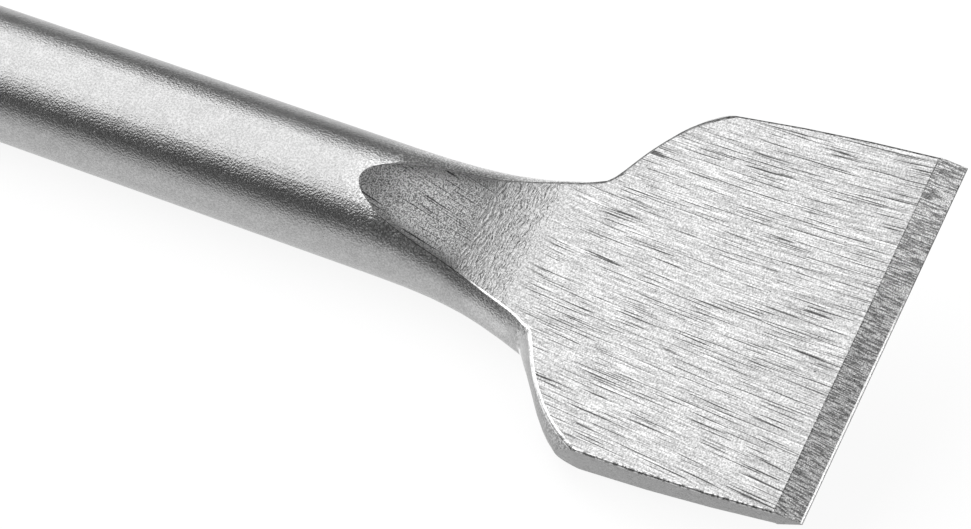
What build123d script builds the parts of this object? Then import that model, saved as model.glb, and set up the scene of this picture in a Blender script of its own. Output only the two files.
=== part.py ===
from build123d import *
from math import asin, atan2, cos, degrees, hypot, radians, sin, sqrt, tan
import os

# A cranked wide chisel for a rotary hammer: one forging, from the grooved shank to the ground edge.
# The bar lies along X and the cutting edge faces +X. The origin is on the bar's axis, at the
# plane where the shank goes into its holder. It lies at rest, hollow side up, on its bar and on
# the shoulder of the blade at -Y. All sizes are in millimetres and degrees.

# Lengths along the tool
total_length = 250.0
insertion_depth = 40.0
shank_length = 62.0
cone_length = 8.0
neck_length = 19.4
head_length = 37.3

# Shank
shank_diameter = 10.0
end_chamfer = 1.0
cone_root_radius = 6.0
cone_top_radius = 4.0
lock_groove_start = 9.0
lock_groove_length = 20.0
lock_ball_radius = 3.5
lock_groove_depth = 1.5
drive_groove_length = 30.0
drive_groove_width = 3.4
drive_groove_depth = 1.6
drive_groove_runout = 6.0

# Bar and forged neck
bar_diameter = 14.0
neck_flare = 3.3
neck_flare_power = 2.3
neck_squash = (
    (0.0, 1.0),
    (0.12, 0.995),
    (0.25, 0.97),
    (0.4, 0.92),
    (0.6, 0.84),
    (0.8, 0.79),
    (1.0, 0.8),
)
flat_start = 59.5
flat_angle = 11.3
back_flat_start = 56.7
bend_radius = 20.0

# Blade
crank_angle = 14.7
crank_length = 39.6
blade_width = 40.0
side_length = 29.0
side_draw = 0.6
side_bulge = 0.38
blade_thickness = 2.95
face_taper = 2.85
shoulder_angle = 49.5
shoulder_radius = 16.0
spread_width = 44.0
side_swell = 1.06
shoulder_swell = (
    (0.0, 0.8),
    (0.1, 0.8),
    (0.2, 1.0),
    (0.32, side_swell),
    (0.45, side_swell),
    (0.7, side_swell),
    (1.0, side_swell),
)

# Ground edge
bevel_length = 3.0
bevel_angle = 20.0
edge_rise = 0.24
edge_land = 0.2

# Places that follow from the sizes
shank_radius = shank_diameter / 2
bar_radius = bar_diameter / 2
rear_x = -insertion_depth
edge_x = rear_x + total_length
corner_x = edge_x - head_length
neck_x = corner_x - neck_length
bevel_x = edge_x - bevel_length
crank_x = edge_x - crank_length
corner_half_width = bar_radius + neck_flare
shoulder_tangent_y = spread_width / 2 - shoulder_radius * (1 - cos(radians(shoulder_angle)))
shoulder_tangent_x = corner_x + (shoulder_tangent_y - corner_half_width) / tan(radians(shoulder_angle))
side_x = shoulder_tangent_x + shoulder_radius * sin(radians(shoulder_angle))
cone_x = rear_x + shank_length
cone_top_x = cone_x + cone_length
back_bend_radius = bend_radius + bar_radius
margin = bar_diameter
pick_margin = 0.1
half_turn = 180


def mid_height(x):
    """Height of the blade's middle plane over the bar's axis."""
    return max(0.0, (x - crank_x) * tan(radians(crank_angle)))


def meet(point_a, angle_a, point_b, angle_b):
    """Point where two lines cross, each given by a point and its slope in degrees."""
    slope_a = tan(radians(angle_a))
    slope_b = tan(radians(angle_b))
    x = (point_b[1] - point_a[1] + slope_a * point_a[0] - slope_b * point_b[0]) / (slope_a - slope_b)
    return (x, point_a[1] + slope_a * (x - point_a[0]))


def corners_at(sketch, x):
    """Corners of a sketch of the side view that lie at x."""
    return sketch.vertices().filter_by_position(Axis.X, x - pick_margin, x + pick_margin)


def shoulder_half_width(x):
    """Half width of the forged blank at the shoulder: straight, then rounded into the side."""
    if x <= shoulder_tangent_x:
        return corner_half_width + (x - corner_x) * tan(radians(shoulder_angle))
    return spread_width / 2 - shoulder_radius + sqrt(shoulder_radius**2 - (side_x - x) ** 2)


def cross_section(x, half_width, half_height):
    """Elliptical section of the blank, across the bar."""
    station = Plane(origin=(x, 0, mid_height(x)), x_dir=(0, 1, 0), z_dir=(1, 0, 0))
    with BuildSketch(station) as section:
        with BuildLine():
            EllipticalCenterArc((0, 0), half_width, half_height, 90, arc_size=half_turn)
            EllipticalCenterArc((0, 0), half_width, half_height, 270, arc_size=half_turn)
        make_face()
    return section.sketch


with BuildPart() as forging:
    # Turned shank, cone and plain bar
    with BuildSketch(Plane.XZ) as bar_profile:
        with BuildLine():
            Polyline(
                (rear_x, 0),
                (rear_x, shank_radius - end_chamfer),
                (rear_x + end_chamfer, shank_radius),
                (cone_x, shank_radius),
                (cone_top_x, bar_radius),
                (neck_x, bar_radius),
                (neck_x, 0),
                close=True,
            )
        make_face()
        fillet(corners_at(bar_profile, cone_x), cone_root_radius)
        fillet(corners_at(bar_profile, cone_top_x), cone_top_radius)
    revolve(axis=Axis.X)

    # Neck: the bar is squeezed flatter and wider towards the corner with the blade
    neck_sections = []
    for share, squash in neck_squash:
        x = neck_x + share * neck_length
        half_width = bar_radius + neck_flare * share**neck_flare_power
        neck_sections.append(cross_section(x, half_width, bar_radius * squash))
    loft(neck_sections)

    # Blade blank: the fan with its rounded rim, before the faces are pressed
    shoulder_sections = []
    for share, swell in shoulder_swell:
        x = corner_x + share * (side_x - corner_x)
        shoulder_sections.append(cross_section(x, shoulder_half_width(x), bar_radius * swell))
    loft(shoulder_sections)
    side_sections = [cross_section(x, spread_width / 2, bar_radius * side_swell) for x in (side_x, edge_x)]
    loft(side_sections, ruled=True)

    # Pressed faces and ground bevels: what lies over the front and under the back goes
    front_face = (bevel_x, mid_height(bevel_x) + blade_thickness / 2)
    back_face = (bevel_x, mid_height(bevel_x) - blade_thickness / 2)
    front_slope = crank_angle - face_taper
    back_slope = crank_angle + face_taper
    front_start = (edge_x - flat_start, bar_radius)
    back_start = (edge_x - back_flat_start, -bar_radius)
    edge_height = mid_height(edge_x) + edge_rise
    front_edge = (edge_x, edge_height + edge_land / 2)
    back_edge = (edge_x, edge_height - edge_land / 2)
    flat_rise = margin * tan(radians(flat_angle))
    front_bend = meet(front_start, -flat_angle, front_face, front_slope)
    back_bend = meet(back_start, flat_angle, back_face, back_slope)
    back_bevel = meet(back_face, back_slope, back_edge, back_slope + bevel_angle)
    with BuildSketch(Plane.XZ) as over_front:
        with BuildLine():
            Polyline(
                (front_start[0] - margin, bar_radius + flat_rise),
                front_bend,
                front_face,
                front_edge,
                (edge_x + margin, front_edge[1]),
                (edge_x + margin, front_edge[1] + 2 * margin),
                (front_start[0] - margin, front_edge[1] + 2 * margin),
                close=True,
            )
        make_face()
        fillet(corners_at(over_front, front_bend[0]), bend_radius)
    extrude(amount=spread_width, both=True, mode=Mode.SUBTRACT)
    with BuildSketch(Plane.XZ) as under_back:
        with BuildLine():
            Polyline(
                (back_start[0] - margin, -bar_radius - flat_rise),
                back_bend,
                back_bevel,
                back_edge,
                (edge_x + margin, back_edge[1]),
                (edge_x + margin, -bar_radius - 2 * margin),
                (back_start[0] - margin, -bar_radius - 2 * margin),
                close=True,
            )
        make_face()
        fillet(corners_at(under_back, back_bend[0]), back_bend_radius)
    extrude(amount=spread_width, both=True, mode=Mode.SUBTRACT)

    # Sides of the blade, trimmed a little barrelled
    side_start = (edge_x - side_length, blade_width / 2 - side_draw)
    side_end = (edge_x, blade_width / 2)
    with BuildSketch(Plane.XY) as beside:
        with BuildLine():
            SagittaArc(side_start, side_end, side_bulge)
            Polyline(
                side_end,
                (edge_x + margin, blade_width / 2),
                (edge_x + margin, blade_width),
                (edge_x - side_length, blade_width),
                side_start,
            )
        make_face()
        mirror(about=Plane.XZ)
    extrude(amount=2 * margin, both=True, mode=Mode.SUBTRACT)

    # Locking grooves: closed pockets for the holder's balls
    ball_centre = shank_radius - lock_groove_depth + lock_ball_radius
    ball_inset = sqrt(lock_ball_radius**2 - (ball_centre - shank_radius) ** 2)
    first_ball_x = rear_x + lock_groove_start + ball_inset
    last_ball_x = rear_x + lock_groove_start + lock_groove_length - ball_inset
    for y in (-ball_centre, ball_centre):
        with Locations(((first_ball_x + last_ball_x) / 2, y, 0)):
            Cylinder(lock_ball_radius, last_ball_x - first_ball_x, rotation=(0, 90, 0), mode=Mode.SUBTRACT)
        with Locations((first_ball_x, y, 0), (last_ball_x, y, 0)):
            Sphere(lock_ball_radius, mode=Mode.SUBTRACT)

    # Drive grooves: open at the rear, run out by the cutter's radius
    groove_floor = shank_radius - drive_groove_depth
    runout_length = sqrt(drive_groove_runout**2 - (drive_groove_runout - drive_groove_depth) ** 2)
    groove_end_x = rear_x + drive_groove_length
    runout_start = (groove_end_x - runout_length, groove_floor)
    with BuildSketch(Plane.XZ) as drive_grooves:
        with BuildLine():
            Line((rear_x - margin, groove_floor), runout_start)
            RadiusArc(runout_start, (groove_end_x, shank_radius), drive_groove_runout)
            Polyline(
                (groove_end_x, shank_radius),
                (groove_end_x, shank_diameter),
                (rear_x - margin, shank_diameter),
                (rear_x - margin, groove_floor),
            )
        make_face()
        mirror(about=Plane.XZ)
    extrude(amount=drive_groove_width / 2, both=True, mode=Mode.SUBTRACT)

# Rest: rolled about the bar's axis until the shoulder at -Y touches the floor the bar lies on
rest_roll = 90.0
mesh_tolerance = 0.05
shoulder_margin = 0.5
for point in forging.part.tessellate(mesh_tolerance)[0]:
    reach = hypot(point.Y, point.Z)
    if point.Y < 0 and reach > bar_radius + shoulder_margin:
        rest_roll = min(rest_roll, degrees(atan2(point.Z, -point.Y) + asin(bar_radius / reach)))

with BuildPart() as chisel:
    add(forging.part, rotation=(rest_roll, 0, 0))

os.makedirs("parts", exist_ok=True)
chisel.part.label = "chisel"
export_step(chisel.part, "parts/chisel.step")
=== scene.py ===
from math import radians, tan

import bpy
from mathutils import Matrix, Quaternion, Vector


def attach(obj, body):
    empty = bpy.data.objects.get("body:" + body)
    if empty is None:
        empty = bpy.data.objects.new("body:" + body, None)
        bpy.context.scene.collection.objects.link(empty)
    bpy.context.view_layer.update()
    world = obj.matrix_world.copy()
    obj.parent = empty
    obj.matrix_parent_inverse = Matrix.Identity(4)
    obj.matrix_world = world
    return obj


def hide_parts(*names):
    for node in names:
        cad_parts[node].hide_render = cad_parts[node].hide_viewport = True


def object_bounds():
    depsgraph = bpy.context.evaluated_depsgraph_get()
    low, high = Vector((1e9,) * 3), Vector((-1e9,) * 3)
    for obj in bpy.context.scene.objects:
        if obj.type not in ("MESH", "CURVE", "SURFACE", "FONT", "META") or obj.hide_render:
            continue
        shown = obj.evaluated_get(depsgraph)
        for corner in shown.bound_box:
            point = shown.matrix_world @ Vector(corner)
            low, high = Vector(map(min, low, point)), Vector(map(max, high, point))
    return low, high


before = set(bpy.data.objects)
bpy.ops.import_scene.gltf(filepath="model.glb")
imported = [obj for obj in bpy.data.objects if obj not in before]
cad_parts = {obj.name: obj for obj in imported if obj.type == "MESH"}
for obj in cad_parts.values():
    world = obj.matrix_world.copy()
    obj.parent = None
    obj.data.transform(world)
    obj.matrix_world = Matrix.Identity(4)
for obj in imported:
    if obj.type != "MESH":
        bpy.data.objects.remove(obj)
cad_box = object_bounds()
bpy.ops.object.select_all(action="DESELECT")

# Forging
# The chisel is one bar of tool steel, 14 mm thick, upset and pressed in dies into a cranked blade,
# then shot blasted. Its solid gives the form, and its hard corners are broken here as blasting does.
MM = 0.001
edge_x = cad_box[1].x
bevel_x = edge_x - 3.0 * MM
side_start_x = edge_x - 29.0 * MM
shoulder_x = edge_x - 37.3 * MM
crank_x = edge_x - 39.6 * MM
back_ramp_x = edge_x - 55.0 * MM
front_ramp_x = edge_x - 59.5 * MM
shank_end_x = 29.0 * MM
bar_radius = 7.0 * MM
neck_length = 19.4 * MM
neck_flare = 3.3 * MM
neck_flare_power = 2.3
shoulder_angle = radians(49.5)
crank_angle = radians(14.7)
rest_roll = radians(23.0)
rim_reach = 9.0 * MM
rim_squareness = 0.47
rim_shift = 1.2 * MM
corner_angle = radians(26)
corner_round = 0.28 * MM
neck_corner_share = 0.4
merge_distance = 0.002 * MM
flat_angle = radians(0.3)
broad_face = 15 * MM * MM
no_tilt = 0.02
finishes = ("blasted_skin", "pressed_face", "ground_bevel", "trimmed_side", "turned_shank", "corner_painted_light")
SKIN, PRESSED, BEVEL, TRIMMED, SHANK, CORNER = range(len(finishes))


def blade_middle(x):
    """Height of the blade's middle plane over the bar's axis, before the chisel is rolled to rest."""
    return max(0, (x - crank_x) * tan(crank_angle))


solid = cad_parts["chisel"]
forging = bpy.data.objects.new("chisel_forging", solid.data.copy())
bpy.context.scene.collection.objects.link(forging)
bpy.context.view_layer.objects.active = forging
forging.select_set(True)
bpy.ops.object.mode_set(mode="EDIT")
bpy.ops.mesh.select_all(action="SELECT")
bpy.ops.mesh.remove_doubles(threshold=merge_distance)
bpy.ops.mesh.customdata_custom_splitnormals_clear()
bpy.ops.mesh.mark_sharp(clear=True)
bpy.ops.mesh.dissolve_limited(angle_limit=flat_angle)
bpy.ops.object.mode_set(mode="OBJECT")

forging.data.materials.clear()
for finish in finishes:
    forging.data.materials.append(bpy.data.materials.new(finish))

# Where the neck meets the shoulder, the rim at +Y stands squarer and a little further forward. This
# starts at 40% of the half width and is full from 80%.
unrolled = Matrix.Rotation(-rest_roll, 3, "X")
for vertex in forging.data.vertices:
    place = unrolled @ vertex.co
    past_shoulder = place.x - shoulder_x
    share = min(max(past_shoulder / neck_length + 1, 0), 1)
    flare = neck_flare * share**neck_flare_power
    half_width = bar_radius + flare + max(past_shoulder, 0) * tan(shoulder_angle)
    nearness = max(0, 1 - abs(past_shoulder) / rim_reach)
    outwards = min(max(2.5 * place.y / half_width - 1, 0), 1)
    if nearness * outwards > 0:
        if blade_middle(place.x) < place.z:
            place.y += (half_width - place.y) * rim_squareness * min(1, 1.6 * nearness) * outwards
        place.x += rim_shift * nearness * outwards
        vertex.co = unrolled.transposed() @ place

faces_by_edge = {}
for face in forging.data.polygons:
    facing = unrolled @ face.normal
    middle = unrolled @ face.center
    face.material_index = SKIN
    if middle.x < shank_end_x:
        face.material_index = SHANK
    elif middle.x > bevel_x and abs(facing.y) < 0.5:
        face.material_index = BEVEL
    elif middle.x > front_ramp_x and abs(facing.y) < no_tilt and abs(facing.z) > 0.5:
        face.material_index = PRESSED
    elif middle.x > side_start_x and abs(facing.z) < no_tilt and abs(facing.y) > 0.9:
        face.material_index = TRIMMED
    for key in face.edge_keys:
        faces_by_edge.setdefault(key, []).append(face)

# Corners between a pressed face and the rim are broken, and other sharp ones stay sharp
bevel_weight = forging.data.attributes.new("bevel_weight_edge", "FLOAT", "EDGE")
for edge in forging.data.edges:
    one, other = faces_by_edge[tuple(sorted(edge.vertices))]
    turn = one.normal.angle(other.normal)
    start, end = (forging.data.vertices[i].co for i in edge.vertices)
    middle = unrolled @ (start + end) / 2
    ramp_start_x = front_ramp_x if middle.z > 0 else back_ramp_x
    on_blade = ramp_start_x < middle.x < bevel_x - corner_round
    if {one.material_index, other.material_index} == {SKIN, TRIMMED}:
        continue
    if turn > corner_angle and on_blade:
        bevel_weight.data[edge.index].value = neck_corner_share if middle.x < shoulder_x else 1.0
    elif turn > corner_angle or one.material_index != other.material_index:
        edge.use_edge_sharp = True

rounding = forging.modifiers.new("corner_round", "BEVEL")
rounding.limit_method = "WEIGHT"
rounding.width = corner_round
rounding.segments = 3
rounding.use_clamp_overlap = False
rounding.material = CORNER
bpy.ops.object.modifier_apply(modifier=rounding.name)
for face in forging.data.polygons:
    face.use_smooth = True
weighting = forging.modifiers.new("flat_faces_stay_flat", "WEIGHTED_NORMAL")
weighting.keep_sharp = True
weighting.weight = 90
bpy.ops.object.modifier_apply(modifier=weighting.name)
corner_normals = [Vector(corner.vector) for corner in forging.data.corner_normals]
for face in forging.data.polygons:
    if face.area > broad_face and face.material_index in (PRESSED, BEVEL):
        for corner in face.loop_indices:
            corner_normals[corner] = face.normal.copy()
forging.data.normals_split_custom_set(corner_normals)
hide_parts("chisel")
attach(forging, "root")


# Blasted skin
# Bar, neck and rim keep the skin of the forging: steel grit has left it satin, with a fine sparkle
# of tiny craters and faint waves where the scale came off. On the shoulder the rim has a painted highlight.
def metal(name, roughness):
    """The named finish's empty node tree, its metal shader and the place on the chisel.

    The place is before the roll to rest: X from the front bevel, Y and Z from the bar's axis.
    """
    material = bpy.data.materials[name]
    material.use_nodes = True
    tree = material.node_tree
    tree.nodes.clear()
    output = tree.nodes.new("ShaderNodeOutputMaterial")
    shader = tree.nodes.new("ShaderNodeBsdfPrincipled")
    shader.inputs["Metallic"].default_value = 1.0
    shader.inputs["Roughness"].default_value = roughness
    tree.links.new(shader.outputs["BSDF"], output.inputs["Surface"])
    where = node(tree, "ShaderNodeTexCoord").outputs["Object"]
    lying = node(tree, "ShaderNodeMapping", {"Vector": where})
    lying.inputs["Rotation"].default_value = (-rest_roll, 0, 0)
    lying.inputs["Location"].default_value = (-bevel_x, 0, 0)
    return tree, shader, lying.outputs["Vector"]


def node(tree, kind, inputs=None, **settings):
    """Adds a node. Each input is a value, or another node's output."""
    made = tree.nodes.new(kind)
    for setting, value in settings.items():
        setattr(made, setting, value)
    for socket, value in (inputs or {}).items():
        if isinstance(value, bpy.types.NodeSocket):
            tree.links.new(value, made.inputs[socket])
        else:
            made.inputs[socket].default_value = value
    return made


def noise(tree, place, size, detail=1.0, offset=0.0):
    """Noise from 0 to 1 whose lumps measure size, three lengths along, across and through."""
    frequency = [1 / s for s in size]
    shift = (offset, 2 * offset, 3 * offset)
    sized = node(tree, "ShaderNodeVectorMath", {0: place, 1: frequency}, operation="MULTIPLY")
    moved = node(tree, "ShaderNodeVectorMath", {0: sized.outputs[0], 1: shift}, operation="ADD")
    texture = node(tree, "ShaderNodeTexNoise", {"Vector": moved.outputs[0], "Scale": 1.0, "Detail": detail})
    return texture.outputs["Fac"]


def maths(tree, operation, one, other, third=0.0):
    """One value worked out from two or three."""
    return node(tree, "ShaderNodeMath", {0: one, 1: other, 2: third}, operation=operation).outputs[0]


def between(tree, value, start, end, low=0.0, high=1.0, smooth=True):
    """Goes from low to high as value goes from start to end, and stays there."""
    kind = "SMOOTHSTEP" if smooth else "LINEAR"
    inputs = {"Value": value, "From Min": start, "From Max": end, "To Min": low, "To Max": high}
    return node(tree, "ShaderNodeMapRange", inputs, interpolation_type=kind, clamp=True).outputs["Result"]


def spread(tree, lumps, low, high):
    """Noise that goes from low to high. Most of it lies from 0.3 to 0.7 before."""
    return between(tree, lumps, 0.3, 0.7, low, high)


def shaded(tree, tone, value, start, end, low, high):
    """The tone times low to high, as value goes from start to end."""
    return maths(tree, "MULTIPLY", tone, between(tree, value, start, end, low, high))


def grey(tree, shader, value):
    """Colours the metal with a grey value."""
    combined = node(tree, "ShaderNodeCombineColor", {"Red": value, "Green": value, "Blue": value})
    tree.links.new(combined.outputs[0], shader.inputs["Base Color"])


def relief(tree, shader, height, depth):
    """Bumps the surface by a height from 0 to 1, depth metres deep."""
    bump = node(tree, "ShaderNodeBump", {"Height": height, "Strength": 1.0, "Distance": depth})
    tree.links.new(bump.outputs[0], shader.inputs["Normal"])


skin_roughness = 0.28
skin_grain = 0.2 * MM
skin_wave = 1.6 * MM
skin_chip = 0.5 * MM
skin_dark = 0.33
skin_light = 0.47
skin_depth = 0.052 * MM
painted_sparkle_gain = 0.45
sparkle_starts = (-60 * MM, -50 * MM)
sparkle_height = (3.2 * MM, 6 * MM)
sparkle_side = (0, 4 * MM)
painted_rim_highlight_gain = 0.16
painted_rim_highlight_starts = (-34.9 * MM, -34.5 * MM)
painted_rim_highlight_ends = (-34.0 * MM, -30.5 * MM)
side_rim_painted_shade = 0.78
side_rim_painted_shade_starts = (-35 * MM, -31 * MM)
upper_rim_painted_light_gain = 0.45
upper_rim_painted_light_starts = (-44 * MM, -38 * MM)
upper_rim_painted_light_ends = (-37 * MM, -34 * MM)
upper_rim_painted_light_height = (0, 2.5 * MM)

tree, shader, place = metal("blasted_skin", skin_roughness)
axes = node(tree, "ShaderNodeSeparateXYZ", {"Vector": place})
x = axes.outputs["X"]
y = axes.outputs["Y"]
z = axes.outputs["Z"]
grain = noise(tree, place, [skin_grain] * 3, detail=1.5)
wave = noise(tree, place, [skin_wave] * 3, detail=2.0, offset=3.0)
chips = noise(tree, place, [skin_chip] * 3, detail=3.0, offset=8.0)
tone = spread(tree, grain, skin_dark, skin_light)
tone = maths(tree, "MULTIPLY", tone, spread(tree, wave, 0.96, 1.04))

# The neck has painted sparkle, bright flecks of grain, high up beside the ramp and on its whole side at +Y
beside_ramp = maths(tree, "MAXIMUM", between(tree, z, *sparkle_height), between(tree, y, *sparkle_side))
painted_sparkle = maths(tree, "MULTIPLY", between(tree, x, *sparkle_starts), beside_ramp)
painted_sparkle = shaded(tree, painted_sparkle, grain, 0.4, 0.7, 0.0, painted_sparkle_gain)
tone = maths(tree, "ADD", tone, painted_sparkle)

# A painted highlight with a ragged start lies on the rim where the shoulder begins, and painted shade lies
# beyond
ragged_x = maths(tree, "ADD", x, spread(tree, chips, -skin_chip, skin_chip))
painted_rim_highlight = shaded(tree, between(tree, ragged_x, *painted_rim_highlight_starts), x, *painted_rim_highlight_ends, 1.0, 0.0)
tone = maths(tree, "ADD", tone, maths(tree, "MULTIPLY", painted_rim_highlight, painted_rim_highlight_gain))
tone = shaded(tree, tone, x, *side_rim_painted_shade_starts, 1.0, side_rim_painted_shade)

# Beside the crank the upper half of the rim has a painted highlight, lighter than the bar
upper_rim_painted_light = maths(tree, "MULTIPLY", between(tree, x, *upper_rim_painted_light_starts), between(tree, z, *upper_rim_painted_light_height))
upper_rim_painted_light = shaded(tree, upper_rim_painted_light, x, *upper_rim_painted_light_ends, 1.0, 0.0)
tone = maths(tree, "MULTIPLY", tone, maths(tree, "MULTIPLY_ADD", upper_rim_painted_light, upper_rim_painted_light_gain, 1.0))

grey(tree, shader, tone)
height = maths(tree, "ADD", grain, maths(tree, "MULTIPLY", wave, 0.3))
# Chips are bumped into the rim where its highlight is painted
height = maths(tree, "ADD", height, maths(tree, "MULTIPLY", painted_rim_highlight, chips))
relief(tree, shader, height, skin_depth)

# Corners with painted light
# Every corner between a pressed face and the rim is broken by the grit. By the crank and on the shoulder at
# -Y it has a painted highlight. By the neck and at +Y it has painted shade. Along the sheared sides it is
# darker and torn.
corner_roughness = 0.3
corner_chip = 0.4 * MM
corner_depth = 0.03 * MM
neck_corner_painted_shade = 0.10
crank_corner_painted_highlight = 0.75
shoulder_corner_painted_highlight = 0.90
side_corner = 0.42
far_corner_painted_shade = 0.14
crank_start = (-44.0 * MM, -39.0 * MM)
side_start = (-26.0 * MM, -21.0 * MM)
tears_start = (-27.0 * MM, -23.0 * MM)
far_side = (0, 4 * MM)

tree, shader, place = metal("corner_painted_light", corner_roughness)
axes = node(tree, "ShaderNodeSeparateXYZ", {"Vector": place})
x = axes.outputs["X"]
y = axes.outputs["Y"]
chips = noise(tree, place, [corner_chip] * 3, detail=3.0, offset=8.0)
# Painted highlight by the crank and on the shoulder, painted shade by the neck and at +Y
tone = between(tree, x, *crank_start, neck_corner_painted_shade, crank_corner_painted_highlight)
tone = maths(tree, "MINIMUM", tone, between(tree, x, *side_start, shoulder_corner_painted_highlight, side_corner))
tone = maths(tree, "MINIMUM", tone, between(tree, y, *far_side, 1.0, far_corner_painted_shade))
torn = between(tree, x, *tears_start, 0.88, 0.4)
grey(tree, shader, shaded(tree, tone, chips, 0.40, 0.58, torn, 1.5))
relief(tree, shader, chips, corner_depth)

# Pressed faces
# The dies leave the two broad faces flat. The ramp keeps its blasted grain, the crank is wrinkled
# across where the steel was folded over its radius, and a belt has scored the blade along.
face_roughness = 0.3
face_grain = 0.18 * MM
ramp_grain = 0.15 * MM
score_width = 0.13 * MM
fine_score_length = 3.0 * MM
dark_score_length = 6.5 * MM
pale_score_length = 6.0 * MM
pit_size = 0.35 * MM
patch_length = 6 * MM
patch_width = 2.5 * MM
wrinkle_length = 1.1 * MM
wrinkle_width = 0.22 * MM
swirl_size = 1.1 * MM
swirl_reach = 0.2 * MM
through = 40 * MM
blade_dark = 0.26
blade_light = 0.55
ramp_dark = 0.12
ramp_light = 0.62
pale_score_gain = 0.12
face_depth = 0.022 * MM
wrinkle_height = 2.3
score_height = -0.15
ramp_tip = (-56 * MM, -49 * MM)
ramp_side_near = (-5.5 * MM, -2.5 * MM)
ramp_side_far = (1 * MM, 5 * MM)
ramp_rim = (6.0 * MM, 7.0 * MM)
ramp_rim_ragged = 0.3 * MM
ramp_rim_from_middle = (1.5 * MM, 3.5 * MM)
blade_start = (-45.0 * MM, -41.5 * MM)
blade_lightens = (-41 * MM, -34 * MM)
blade_darker_to_bevel = (-14 * MM, 0)
bend_start = (-44.2 * MM, -41.8 * MM)
bend_end = (-39.0 * MM, -35.5 * MM)
scores_start = (-38.0 * MM, -34.0 * MM)
score_straight_x = 34 * MM
score_curve = -54.0
score_bow = -1.0
score_lean = 0.135


def along_scores(tree, place):
    """The place on the chisel, straightened so that the scores, which curve a little, run along X."""
    axes = node(tree, "ShaderNodeSeparateXYZ", {"Vector": place})
    run = maths(tree, "ADD", axes.outputs["X"], score_straight_x)
    curve = maths(tree, "MULTIPLY_ADD", axes.outputs["Y"], score_curve, score_bow)
    slope = maths(tree, "MULTIPLY_ADD", run, curve, score_lean)
    moved = node(tree, "ShaderNodeCombineXYZ", {"Y": maths(tree, "MULTIPLY", run, slope)})
    return node(tree, "ShaderNodeVectorMath", {0: place, 1: moved.outputs[0]}, operation="ADD").outputs[0]


tree, shader, place = metal("pressed_face", face_roughness)
axes = node(tree, "ShaderNodeSeparateXYZ", {"Vector": place})
x = axes.outputs["X"]
y = axes.outputs["Y"]
along = along_scores(tree, place)
blade = between(tree, x, *blade_start)
bend = shaded(tree, between(tree, x, *bend_start), x, *bend_end, 1.0, 0.0)
scoring = between(tree, x, *scores_start)
grain = noise(tree, place, [face_grain] * 3, detail=2.0)
speckle = noise(tree, place, [ramp_grain] * 3, detail=2.0, offset=5.0)
patch = noise(tree, place, [patch_length, patch_width, through], detail=3.0, offset=9.0)
fine_scores = noise(tree, along, [fine_score_length, score_width, through], detail=0.0, offset=1.0)
dark_scores = noise(tree, along, [dark_score_length, score_width, through], detail=0.0, offset=2.0)
pale_scores = noise(tree, along, [pale_score_length, score_width, through], detail=0.0, offset=4.0)
pits = noise(tree, place, [pit_size] * 3, detail=1.0, offset=12.0)
swirl = noise(tree, place, [swirl_size, swirl_size, through], detail=1.0, offset=7.0)
swirl = between(tree, swirl, 0.2, 0.8, -swirl_reach, swirl_reach, smooth=False)
swirled = node(tree, "ShaderNodeVectorMath", {0: place, 1: swirl}, operation="ADD").outputs[0]
wrinkle = noise(tree, swirled, [wrinkle_width, wrinkle_length, through], detail=1.0, offset=6.0)
wrinkle = between(tree, wrinkle, 0.4, 0.75)

# The blade: grain, fine and deep dark scores in patches, pits, and pale scores over them
blade_tone = spread(tree, grain, blade_dark, blade_light)
blade_tone = shaded(tree, blade_tone, x, *blade_lightens, 0.85, 1.0)
# The blade is darker towards the bevel
blade_tone = shaded(tree, blade_tone, x, *blade_darker_to_bevel, 1.0, 0.93)
patchy_scores = maths(tree, "ADD", dark_scores, between(tree, patch, 0.35, 0.65, -0.02, 0.02))
marks = between(tree, fine_scores, 0.36, 0.66, 1.08, 0.78)
marks = shaded(tree, marks, patchy_scores, 0.63, 0.70, 1.0, 0.2)
marks = between(tree, scoring, 0.0, 1.0, 1.0, marks, smooth=False)
blade_tone = maths(tree, "MULTIPLY", blade_tone, marks)
blade_tone = shaded(tree, blade_tone, pits, 0.74, 0.80, 1.0, 0.25)
pale = shaded(tree, scoring, pale_scores, 0.62, 0.68, 0.0, pale_score_gain)
blade_tone = maths(tree, "ADD", blade_tone, pale)

# The ramp: coarse speckle, darker at its tip, down both sides and round its ragged rim
across = node(tree, "ShaderNodeVectorMath", {0: place, 1: (0, 1, 1)}, operation="MULTIPLY").outputs[0]
from_axis = node(tree, "ShaderNodeVectorMath", {0: across}, operation="LENGTH").outputs["Value"]
from_axis = maths(tree, "ADD", from_axis, spread(tree, speckle, -ramp_rim_ragged, ramp_rim_ragged))
from_middle = maths(tree, "ABSOLUTE", y, 0.0)
rim_shade = between(tree, from_middle, *ramp_rim_from_middle, 1.0, 0.5)
ramp_tone = between(tree, speckle, 0.32, 0.68, ramp_dark, ramp_light)
ramp_tone = shaded(tree, ramp_tone, x, *ramp_tip, 0.42, 1.0)
ramp_tone = shaded(tree, ramp_tone, y, *ramp_side_far, 1.0, 0.65)
ramp_tone = shaded(tree, ramp_tone, y, *ramp_side_near, 0.6, 1.0)
ramp_tone = shaded(tree, ramp_tone, dark_scores, 0.67, 0.72, 1.0, 0.2)
ramp_tone = shaded(tree, ramp_tone, from_axis, *ramp_rim, 1.0, rim_shade)

tone = node(tree, "ShaderNodeMix", {"Factor": blade, "A": ramp_tone, "B": blade_tone}).outputs["Result"]
grey(tree, shader, tone)
height = maths(tree, "MULTIPLY", maths(tree, "SUBTRACT", 1.5, blade), speckle)
folds = maths(tree, "MULTIPLY", maths(tree, "MULTIPLY", bend, wrinkle), wrinkle_height)
grooves = maths(tree, "MULTIPLY", maths(tree, "MULTIPLY", scoring, fine_scores), score_height)
height = maths(tree, "ADD", maths(tree, "ADD", height, folds), grooves)
relief(tree, shader, height, face_depth)

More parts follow.
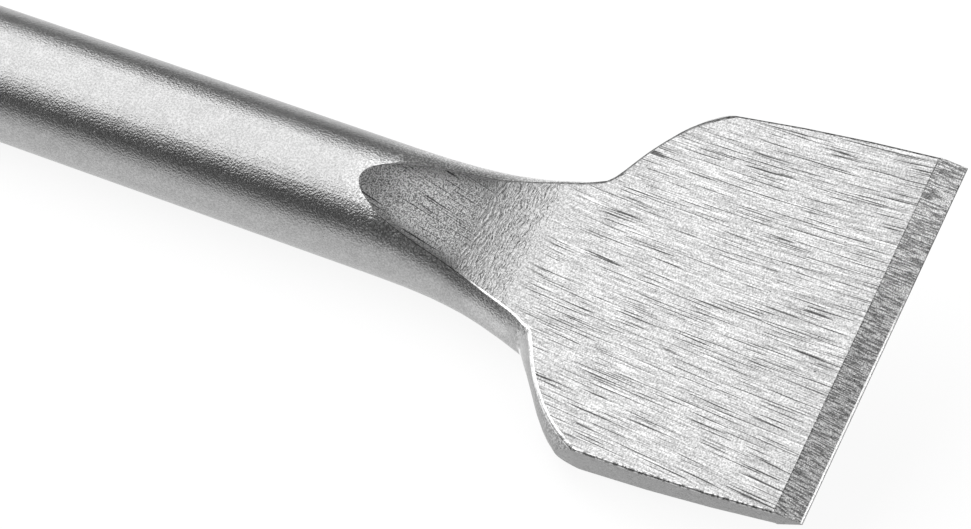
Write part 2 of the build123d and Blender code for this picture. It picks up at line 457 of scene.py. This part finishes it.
# Ground bevels
# The edge is ground from both faces on a wheel that runs square to it, so its marks lie along the
# tool. The wheel leaves the steel duller and darker than the blade. A painted highlight lies along the burr
# on the edge, at -Y.
bevel_roughness = 0.36
bevel_grain = 0.13 * MM
bevel_mark_length = 1.4 * MM
nick_size = 0.3 * MM
bevel_dark = 0.16
bevel_light = 0.54
bevel_depth = 0.018 * MM
bevel_nicks = 0.1 * MM
bevel_start = (0.02 * MM, 0.14 * MM)
light_side = (-4 * MM, 18 * MM)
burr_painted_highlight_tone = 0.8
burr_start = (2.76 * MM, 2.82 * MM)
burr_end = (-2 * MM, 8 * MM)
land_start = (2.96 * MM, 2.98 * MM)

tree, shader, place = metal("ground_bevel", bevel_roughness)
axes = node(tree, "ShaderNodeSeparateXYZ", {"Vector": place})
x = axes.outputs["X"]
y = axes.outputs["Y"]
along = along_scores(tree, place)
grain = noise(tree, place, [bevel_grain] * 3, detail=2.0)
marks = noise(tree, along, [bevel_mark_length, score_width, through], detail=0.0, offset=1.0)
nicks = noise(tree, place, [nick_size] * 3, detail=1.0, offset=3.0)
nicked_x = maths(tree, "ADD", x, spread(tree, nicks, -bevel_nicks, bevel_nicks))
# Painted highlight along the burr on the edge, fading out towards +Y
burr_painted_highlight = between(tree, y, *burr_end, burr_painted_highlight_tone, 0.0)
tone = spread(tree, grain, bevel_dark, bevel_light)
tone = shaded(tree, tone, marks, 0.36, 0.66, 1.25, 0.45)
tone = shaded(tree, tone, nicked_x, *bevel_start, 0.45, 1.0)
tone = shaded(tree, tone, y, *light_side, 1.0, 1.5)
tone = maths(tree, "ADD", tone, shaded(tree, burr_painted_highlight, x, *burr_start, 0.0, 1.0))
tone = shaded(tree, tone, x, *land_start, 1.0, 0.2)
grey(tree, shader, tone)
relief(tree, shader, maths(tree, "ADD", grain, marks), bevel_depth)

# Trimmed sides
# The sides were sheared to width after forging, and then blasted with the rest. The shear leaves them
# smoother than the skin, with a few short tears along them.
side_roughness = 0.34
side_grain = 0.14 * MM
tear_length = 0.8 * MM
tear_width = 0.16 * MM
side_dark = 0.21
side_light = 0.39
side_depth = 0.014 * MM

tree, shader, place = metal("trimmed_side", side_roughness)
grain = noise(tree, place, [side_grain] * 3, detail=2.0)
tears = noise(tree, place, [tear_length, through, tear_width], detail=2.0, offset=2.0)
tone = spread(tree, grain, side_dark, side_light)
grey(tree, shader, shaded(tree, tone, tears, 0.62, 0.7, 1.0, 0.5))
relief(tree, shader, maths(tree, "ADD", grain, tears), side_depth)

# Turned shank
# The end that the hammer drives is turned round and then milled with its grooves. It is smoother
# than the bar, with the fine rings of the lathe.
shank_roughness = 0.26
ring_width = 0.12 * MM
ring_length = 8 * MM
shank_grain = 0.14 * MM
shank_dark = 0.44
shank_light = 0.56
shank_depth = 0.008 * MM

tree, shader, place = metal("turned_shank", shank_roughness)
rings = noise(tree, place, [ring_width, ring_length, ring_length], detail=1.0)
grain = noise(tree, place, [shank_grain] * 3, detail=2.0, offset=3.0)
tone = spread(tree, rings, shank_dark, shank_light)
grey(tree, shader, maths(tree, "MULTIPLY", tone, spread(tree, grain, 0.92, 1.06)))
relief(tree, shader, maths(tree, "ADD", rings, maths(tree, "MULTIPLY", grain, 0.4)), shank_depth)

# Camera
# A camera with a long lens stands in front of the chisel at its -Y side, and looks down on the blade.
# It is turned a little about its own axis, and the bar leaves the picture on the left.
camera_data = bpy.data.cameras.new("camera")
camera_data.sensor_fit = "HORIZONTAL"
camera_data.sensor_width = 36.0
camera_data.lens = 148.3
camera_data.clip_start = 0.01
camera = bpy.data.objects.new("camera", camera_data)
bpy.context.scene.collection.objects.link(camera)
camera.location = (0.31562, -0.25911, 0.28056)
camera_target = Vector((0.17031, -0.01193, 0.010))
camera_roll = radians(-2.6)
looking = (camera_target - camera.location).to_track_quat("-Z", "Y")
camera.rotation_mode = "QUATERNION"
camera.rotation_quaternion = looking @ Quaternion((0, 0, 1), camera_roll)
bpy.context.scene.camera = camera
bpy.context.scene.view_settings.view_transform = "Standard"

# Floor
# White paper lies under the chisel, and keeps a faint shadow of it. The steel also reflects a dark
# card on the paper, from 60 mm in front of the bar, which draws the bar's dark lower band.
floor_radius = 1.2
floor_middle = (0.1, 0, cad_box[0].z)
paper_colour = (0.98, 0.98, 0.98, 1)
paper_whiteness = 0.88
card_edge_y = -0.06
card_blur = 0.05
card_tone = 0.05

bpy.ops.object.select_all(action="DESELECT")
bpy.ops.mesh.primitive_circle_add(vertices=96, radius=floor_radius, fill_type="NGON", location=floor_middle)
floor = bpy.context.object
floor.name = "floor"
bpy.ops.object.transform_apply(location=True)
floor_paper = bpy.data.materials.new("floor_paper")
floor_paper.use_nodes = True
tree = floor_paper.node_tree
tree.nodes.clear()
where = node(tree, "ShaderNodeTexCoord").outputs["Object"]
y = node(tree, "ShaderNodeSeparateXYZ", {"Vector": where}).outputs["Y"]
path = node(tree, "ShaderNodeLightPath")
seen = maths(tree, "MAXIMUM", path.outputs["Is Camera Ray"], path.outputs["Is Glossy Ray"])
card = between(tree, y, card_edge_y, card_edge_y + card_blur, card_tone, 1.0)
brightness = maths(tree, "MAXIMUM", path.outputs["Is Camera Ray"], card)
matt = node(tree, "ShaderNodeBsdfDiffuse", {"Color": paper_colour})
white = node(tree, "ShaderNodeEmission", {"Color": (1, 1, 1, 1), "Strength": brightness})
share = maths(tree, "MULTIPLY", seen, paper_whiteness)
mix = node(tree, "ShaderNodeMixShader", {"Fac": share, 1: matt.outputs[0], 2: white.outputs[0]})
node(tree, "ShaderNodeOutputMaterial", {"Surface": mix.outputs[0]})
floor.data.materials.append(floor_paper)

# Studio
# A dim room with three soft lamps: a large one over the bar, a small one behind the struck end and
# one beyond the edge. Behind the chisel the paper goes on as a white backdrop, just past the floor.
room_tone = 0.08
backdrop_tone = 1.0
back_wall_gain = 0.1
end_wall_gain = 0.45
room_fill = 0.3
horizon = (-0.03, 0.04)
back_wall = (0.2, 0.5)
end_wall = (0.3, 0.7)
lamp_target = Vector((0.15, 0, 0))


def softbox(name, direction, distance, width, height, radiance):
    """A flat soft lamp aimed at the chisel. Its energy is shared over its area, times four."""
    lamp_data = bpy.data.lights.new(name, "AREA")
    lamp_data.shape = "RECTANGLE"
    lamp_data.size = width
    lamp_data.size_y = height
    lamp_data.energy = radiance * 4 * width * height
    lamp = bpy.data.objects.new(name, lamp_data)
    bpy.context.scene.collection.objects.link(lamp)
    lamp.location = lamp_target + Vector(direction).normalized() * distance
    lamp.rotation_mode = "QUATERNION"
    lamp.rotation_quaternion = (lamp_target - lamp.location).to_track_quat("-Z", "Y")
    lamp.visible_camera = False


world = bpy.data.worlds.new("studio")
bpy.context.scene.world = world
world.use_nodes = True
tree = world.node_tree
tree.nodes.clear()
direction = node(tree, "ShaderNodeTexCoord").outputs["Generated"]
axes = node(tree, "ShaderNodeSeparateXYZ", {"Vector": direction})
path = node(tree, "ShaderNodeLightPath")
below = between(tree, axes.outputs["Z"], *horizon, 1.0, 0.0)
behind = between(tree, axes.outputs["Y"], *back_wall)
backdrop = maths(tree, "MULTIPLY", below, behind)
room = between(tree, backdrop, 0.0, 1.0, room_tone, backdrop_tone)
room = maths(tree, "ADD", room, maths(tree, "MULTIPLY", behind, back_wall_gain))
room = maths(tree, "ADD", room, between(tree, axes.outputs["X"], *end_wall, 0.0, end_wall_gain))
room = maths(tree, "ADD", room, maths(tree, "MULTIPLY", path.outputs["Is Diffuse Ray"], room_fill))
walls = node(tree, "ShaderNodeBackground", {"Color": (1, 1, 1, 1), "Strength": room}).outputs[0]
white = node(tree, "ShaderNodeBackground", {"Color": (1, 1, 1, 1), "Strength": 1.0}).outputs[0]
mix = node(tree, "ShaderNodeMixShader", {"Fac": path.outputs["Is Camera Ray"], 1: walls, 2: white})
node(tree, "ShaderNodeOutputWorld", {"Surface": mix.outputs[0]})

softbox("key_softbox", (-0.56, -0.03, 0.83), distance=0.8, width=1.5, height=1.04, radiance=1.5)
softbox("end_softbox", (-1.0, 0.1, 0.14), distance=0.8, width=0.5, height=0.3, radiance=1.3)
softbox("far_softbox", (0.75, 0.1, 0.65), distance=0.9, width=0.8, height=0.8, radiance=0.9)
